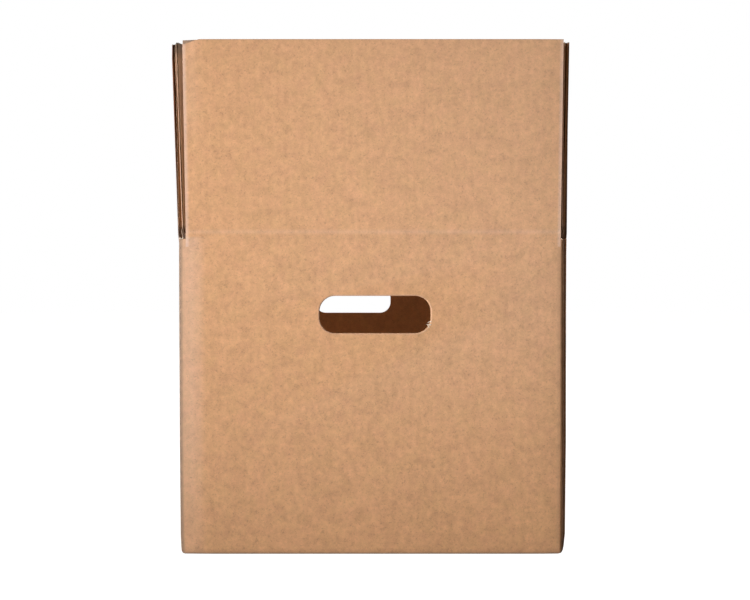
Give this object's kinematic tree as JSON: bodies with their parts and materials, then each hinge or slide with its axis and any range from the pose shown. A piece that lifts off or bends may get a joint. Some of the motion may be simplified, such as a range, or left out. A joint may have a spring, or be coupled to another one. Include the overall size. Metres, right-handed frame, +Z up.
{
  "type": "corrugated box with handles",
  "caption": "Open shipping box folded from one sheet of double-wall corrugated board, with top flaps that shut on their creases, a glued bottom and a hand hole through each end.",
  "frame": {"origin": "middle of the underside, on the ground plane", "axes": "+Z up, +Y along the long sides from the front end to the back end, +X to the right seen from the front end"},
  "size_m": [0.3919, 0.5986, 0.5042],
  "materials": {
    "kraft_board": "plain brown kraft liner, matt"
  },
  "bodies": {
    "box_body": {"body": "kraft_board"},
    "front_flap": {"front_flap": "kraft_board"},
    "back_flap": {"back_flap": "kraft_board"},
    "left_flap": {"left_flap": "kraft_board"},
    "right_flap": {"right_flap": "kraft_board"}
  },
  "joints": [
    {"name": "front_crease", "type": "hinge", "parent": "box_body", "child": "front_flap", "pos_m": [0, -0.285, 0.311], "axis": [-1, 0, 0], "range_deg": [-160, 95]},
    {"name": "back_crease", "type": "hinge", "parent": "box_body", "child": "back_flap", "pos_m": [0, 0.285, 0.311], "axis": [1, 0, 0], "range_deg": [-161.5, 93.5]},
    {"name": "left_crease", "type": "hinge", "parent": "box_body", "child": "left_flap", "pos_m": [-0.1905, 0, 0.3181], "axis": [0, 1, 0], "range_deg": [-162.5, 92.5]},
    {"name": "right_crease", "type": "hinge", "parent": "box_body", "child": "right_flap", "pos_m": [0.1905, 0, 0.3181], "axis": [0, -1, 0], "range_deg": [-164.2, 90.8]}
  ]
}
